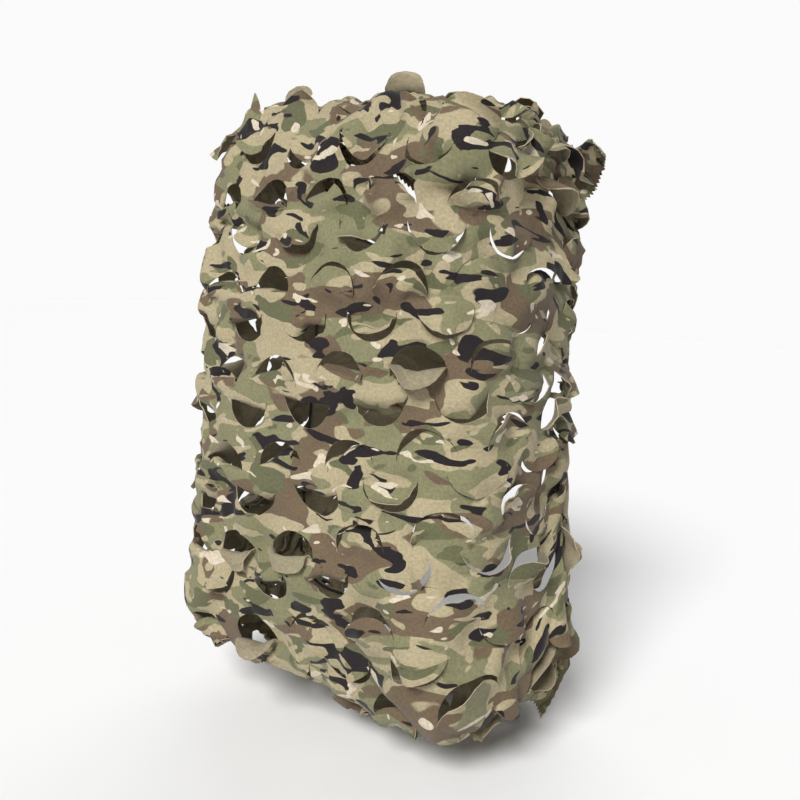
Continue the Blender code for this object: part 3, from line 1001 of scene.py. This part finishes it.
def add_bump(tree, shader, height, strength, distance):
    bump = tree.nodes.new("ShaderNodeBump")
    set_inputs(bump, Strength=strength, Distance=distance)
    tree.links.new(height, bump.inputs["Height"])
    tree.links.new(bump.outputs["Normal"], shader.inputs["Normal"])


# %% The weave group
THREADS_PER_METRE, SLUBS_PER_METRE = 900, 420


def make_weave_group():
    """Crossing threads and small slubs, as a height and a shade."""
    tree = bpy.data.node_groups.new("weave", "ShaderNodeTree")
    for name, way, kind in (
        ("Position", "INPUT", "NodeSocketVector"),
        ("Threads per metre", "INPUT", "NodeSocketFloat"),
        ("Height", "OUTPUT", "NodeSocketFloat"),
        ("Shade", "OUTPUT", "NodeSocketFloat"),
    ):
        tree.interface.new_socket(name, in_out=way, socket_type=kind)
    come_in = tree.nodes.new("NodeGroupInput")
    go_out = tree.nodes.new("NodeGroupOutput")
    parts = tree.nodes.new("ShaderNodeSeparateXYZ")
    tree.links.new(come_in.outputs["Position"], parts.inputs[0])
    waves = []
    for axis in (0, 1):
        turns = math_node(tree, "MULTIPLY", parts.outputs[axis], come_in.outputs["Threads per metre"])
        angle = math_node(tree, "MULTIPLY", turns, math.pi)
        waves.append(math_node(tree, "SINE", angle))
    crossed = math_node(tree, "MULTIPLY", waves[0], waves[1])
    slub = noise_at(tree, come_in.outputs["Position"], SLUBS_PER_METRE, 2.0)
    threads = math_node(tree, "MULTIPLY_ADD", crossed, 0.35, 0.5)
    height = math_node(tree, "MULTIPLY_ADD", slub, 0.5, threads)
    tree.links.new(height, go_out.inputs["Height"])
    shade = math_node(tree, "MULTIPLY_ADD", crossed, 0.06, 0.60)
    shade = math_node(tree, "MULTIPLY_ADD", slub, 0.75, shade)
    tree.links.new(shade, go_out.inputs["Shade"])
    return tree


weave = make_weave_group()
print("weave group made")


# %% The cloth materials
TAN = (0.355, 0.300, 0.185)
SAGE = (0.190, 0.182, 0.098)
OLIVE = (0.112, 0.112, 0.057)
BROWN = (0.132, 0.093, 0.056)
DARK = (0.013, 0.009, 0.010)
CREAM = (0.54, 0.47, 0.36)
REVERSE = (0.27, 0.23, 0.15)


def print_colours(tree):
    """Layers of patches, each over the last, on the flat sheet."""
    layers = (
        # colour, noise scale, stretch across, shift, level, distortion
        (SAGE, 28.0, 0.60, (3.1, 7.7, 0.0), 0.50, 0.5),
        (OLIVE, 40.0, 0.55, (9.3, 2.4, 0.0), 0.59, 0.6),
        (BROWN, 29.0, 0.58, (1.9, 4.2, 0.0), 0.555, 0.6),
        (TAN, 54.0, 0.55, (8.8, 5.1, 0.0), 0.62, 0.7),
        (DARK, 54.0, 0.48, (5.6, 1.3, 0.0), 0.610, 0.8),
        (CREAM, 64.0, 0.55, (2.2, 9.9, 0.0), 0.67, 0.7),
    )
    colour = None
    for ink, scale, stretch, shift, level, distortion in layers:
        position = flat_position(tree, (stretch, 1.0, 1.0), shift)
        patches = noise_at(tree, position, scale, 1.6, 0.45, distortion)
        mask = cut_off(tree, patches, level)
        colour = mix_colours(tree, mask, TAN if colour is None else colour, ink)
    return colour


def finish_cloth(material, make_colour, roughness, sheen, bump_strength):
    """A cloth material: its colour times the weave's shade, and the weave as relief."""
    material.use_nodes = True
    tree = material.node_tree
    shader = tree.nodes["Principled BSDF"]
    colour = make_colour(tree)
    threads = tree.nodes.new("ShaderNodeGroup")
    threads.node_tree = weave
    set_inputs(threads, Threads_per_metre=THREADS_PER_METRE)
    tree.links.new(flat_position(tree), threads.inputs["Position"])
    shaded = mix_colours(tree, 1.0, colour, threads.outputs["Shade"], "MULTIPLY")
    wear = noise_at(tree, flat_position(tree), 9.0, 3.0)
    dust = math_node(tree, "MULTIPLY_ADD", wear, 0.30, 0.86)
    tree.links.new(mix_colours(tree, 1.0, shaded, dust, "MULTIPLY"), shader.inputs["Base Color"])
    rough = math_node(tree, "MULTIPLY_ADD", wear, 0.2, roughness - 0.1)
    tree.links.new(rough, shader.inputs["Roughness"])
    add_bump(tree, shader, threads.outputs["Height"], bump_strength, 0.0003)
    set_inputs(shader, Specular_IOR_Level=0.25, Sheen_Weight=sheen, Sheen_Roughness=0.5)


def reverse_colours(tree):
    """The reverse is undyed, and the print shows through it faintly."""
    return mix_colours(tree, 0.16, REVERSE, print_colours(tree))


def edge_colours(tree):
    """A cut edge shows bare fibres, paler than the print."""
    fibres = noise_at(tree, flat_position(tree), 260.0, 2.0)
    return mix_colours(tree, fibres, (0.30, 0.24, 0.15), (0.52, 0.43, 0.30))


finish_cloth(thick_mesh.materials[0], print_colours, 0.82, 0.10, 0.5)
finish_cloth(thick_mesh.materials[1], reverse_colours, 0.86, 0.10, 0.5)
finish_cloth(thick_mesh.materials[2], edge_colours, 0.9, 0.0, 0.2)
print("cloth materials:", [material.name for material in thick_mesh.materials])

# %% [markdown]
# ## The drawcord
#
# A round black elastic, about 2.6 mm thick, runs through the holds. Its tube
# is a grid: one way runs along the cord, the other round it, and the last row
# meets the first, so the two are merged. The grid's own directions become its
# map, which lets a braid pattern follow the cord.

# %% The drawcord
CORD_RADIUS, CORD_RAISED = 0.0013, 0.0012
CORD_KNOTS, CORD_STEPS, CORD_SIDES = 160, 640, 10


def cord_line(count):
    """The cord's centre line in space: its path on the sheet, wrapped and raised a little."""
    path = cord_path(CORD_KNOTS)
    knots = np.array([wrap(u * 0.9995, v * 0.9995) for u, v in path])
    normals = np.array([surface_normal(u * 0.985, v * 0.985) for u, v in path])
    knots = knots + normals * CORD_RAISED
    spot = np.linspace(0, len(knots), count, endpoint=False)
    cell = np.floor(spot).astype(int)
    weights = curve_weights(spot - cell)
    return sum(weights[:, k, None] * knots[(cell + k - 1) % len(knots)] for k in range(4))


line = cord_line(CORD_STEPS)
ahead = unit(np.roll(line, -1, 0) - np.roll(line, 1, 0))
outward = unit(np.cross(ahead, np.array((0.0, 1.0, 0.0))))
sideways = np.cross(ahead, outward)
shaper = bmesh.new()
bmesh.ops.create_grid(shaper, x_segments=CORD_STEPS, y_segments=CORD_SIDES, size=0.5)
braid_map = shaper.loops.layers.uv.new("along_cord")
for face in shaper.faces:
    for loop in face.loops:
        loop[braid_map].uv = loop.vert.co.xy + Vector((0.5, 0.5))
for vert in shaper.verts:
    step = round((vert.co.x + 0.5) * CORD_STEPS) % CORD_STEPS
    turn = (vert.co.y + 0.5) * 2 * math.pi
    ring = outward[step] * math.cos(turn) + sideways[step] * math.sin(turn)
    vert.co = Vector(line[step] + ring * CORD_RADIUS)
bmesh.ops.remove_doubles(shaper, verts=shaper.verts, dist=1e-6)
bmesh.ops.recalc_face_normals(shaper, faces=shaper.faces)
for face in shaper.faces:
    face.smooth = True
cord_mesh = bpy.data.meshes.new("elastic_drawcord")
shaper.to_mesh(cord_mesh)
shaper.free()
drawcord = bpy.data.objects.new("elastic_drawcord", cord_mesh)
scene.collection.objects.link(drawcord)
cord_length = np.linalg.norm(np.roll(line, -1, 0) - line, axis=1).sum()
print(f"drawcord: {cord_length:.2f} m round the back edge")

# %% [markdown]
# The elastic's braid is two sets of fine slanting ribs that cross, one sine
# for each direction, in near-black with a slight satin gloss.

# %% Elastic cord material
elastic = bpy.data.materials.new("elastic_cord")
elastic.use_nodes = True
tree = elastic.node_tree
uv = tree.nodes.new("ShaderNodeUVMap")
uv.uv_map = "along_cord"
parts = tree.nodes.new("ShaderNodeSeparateXYZ")
tree.links.new(uv.outputs["UV"], parts.inputs[0])
lengths = math_node(tree, "MULTIPLY", parts.outputs[0], 2 * math.pi * 700)
rounds = math_node(tree, "MULTIPLY", parts.outputs[1], 2 * math.pi * 4)
one_way = math_node(tree, "SINE", math_node(tree, "ADD", lengths, rounds))
other_way = math_node(tree, "SINE", math_node(tree, "SUBTRACT", lengths, rounds))
ribs = math_node(tree, "MULTIPLY", one_way, other_way)
share = math_node(tree, "MULTIPLY_ADD", ribs, 0.5, 0.5)
shader = tree.nodes["Principled BSDF"]
colour = mix_colours(tree, share, (0.010, 0.010, 0.011), (0.032, 0.032, 0.034))
tree.links.new(colour, shader.inputs["Base Color"])
tree.links.new(math_node(tree, "MULTIPLY_ADD", share, 0.15, 0.45), shader.inputs["Roughness"])
add_bump(tree, shader, ribs, 0.6, 0.0002)
cord_mesh.materials.append(elastic)

# %% [markdown]
# ## Floor and light
#
# A pale floor under the lowest ear, a broad soft sun from in front, a little to
# the left of the camera, and a faint, very soft fill from behind. Light that
# comes from in front leaves the hollow inside dark, so the open cuts read as
# holes.

# %% Floor and light
floor_mesh = bpy.data.meshes.new("floor")
shaper = bmesh.new()
bmesh.ops.create_grid(shaper, x_segments=1, y_segments=1, size=6)
floor_level = min(float(net_places[:, 2].min()), cad_low.z) - 0.002
bmesh.ops.translate(shaper, vec=(0, 0, floor_level), verts=shaper.verts)
shaper.to_mesh(floor_mesh)
shaper.free()
floor = bpy.data.objects.new("floor", floor_mesh)
scene.collection.objects.link(floor)
paper = bpy.data.materials.new("pale_floor")
paper.use_nodes = True
shader = paper.node_tree.nodes["Principled BSDF"]
set_inputs(shader, Base_Color=(0.86, 0.86, 0.86, 1), Roughness=0.9, Specular_IOR_Level=0.1)
floor_mesh.materials.append(paper)

LIGHTS = (
    # name, azimuth, elevation, strength, softness in degrees
    ("soft_sun", 12, 38, 3.8, 22),
    ("back_fill", 205, 40, 0.9, 60),
)
for name, azimuth, elevation, energy, angle in LIGHTS:
    light = bpy.data.lights.new(name, "SUN")
    light.energy = energy
    light.angle = math.radians(angle)
    lamp = bpy.data.objects.new(name, light)
    scene.collection.objects.link(lamp)
    a, e = math.radians(azimuth), math.radians(elevation)
    towards = Vector((math.sin(a) * math.cos(e), -math.cos(a) * math.cos(e), math.sin(e)))
    lamp.rotation_mode = "QUATERNION"
    lamp.rotation_quaternion = (-towards).to_track_quat("-Z", "Y")

# The room is white where it is seen, and gives a dimmer light of its own
world = bpy.data.worlds.new("studio")
world.use_nodes = True
tree = world.node_tree
room = tree.nodes["Background"]
room.inputs["Color"].default_value = (1, 1, 1, 1)
ray = tree.nodes.new("ShaderNodeLightPath")
strength = math_node(tree, "MULTIPLY_ADD", ray.outputs["Is Camera Ray"], 0.76, 0.20)
tree.links.new(strength, room.inputs["Strength"])
scene.world = world
scene.view_settings.view_transform = "Standard"
print("floor at", round(floor_level, 3))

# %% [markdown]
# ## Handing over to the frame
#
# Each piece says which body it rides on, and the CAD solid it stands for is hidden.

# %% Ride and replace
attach(net, "root")
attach(drawcord, "root")
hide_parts("net_cloth")
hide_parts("drawcord")
